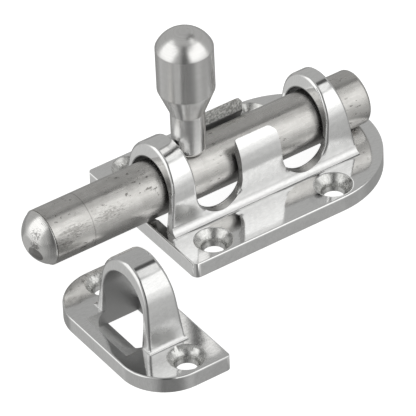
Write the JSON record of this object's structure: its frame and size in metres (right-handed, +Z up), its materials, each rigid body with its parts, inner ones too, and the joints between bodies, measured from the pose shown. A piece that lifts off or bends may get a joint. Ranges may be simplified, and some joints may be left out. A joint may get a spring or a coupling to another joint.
{
  "type": "slide bolt",
  "caption": "Cast slide bolt: round bolt with a domed nose and a turned lift handle, in an open notched barrel on a screw-down plate, with a matching arched keeper plate.",
  "frame": {"origin": "middle of the housing's four screw holes, on the mounting face", "axes": "+X along the bolt towards its nose, which is the way it is thrown; +Z up out of the mounting face; +Y towards the side that the keeper lies on"},
  "size_m": [0.1147, 0.0893, 0.0603],
  "materials": {
    "polished_casting": "mirror polished cast stainless steel",
    "brushed_bar": "drawn stainless bar with a dull lengthwise grain and small scuffs",
    "turned_steel": "fine turned stainless steel with a polished dome"
  },
  "bodies": {
    "frame": {"housing": "polished_casting", "keeper": "polished_casting"},
    "bolt_tip": {"bolt_nose": "turned_steel"},
    "bolt": {"bolt_rod": "brushed_bar", "handle_knob": "turned_steel"}
  },
  "joints": [
    {"name": "bolt_slide", "type": "slide", "parent": "frame", "child": "bolt_tip", "axis": [-1, 0, 0], "range_m": [0, 0.0325]},
    {"name": "bolt_turn", "type": "hinge", "parent": "bolt_tip", "child": "bolt", "pos_m": [0.0618, 0, 0.013], "axis": [1, 0, 0], "range_deg": [-90, 90]}
  ]
}
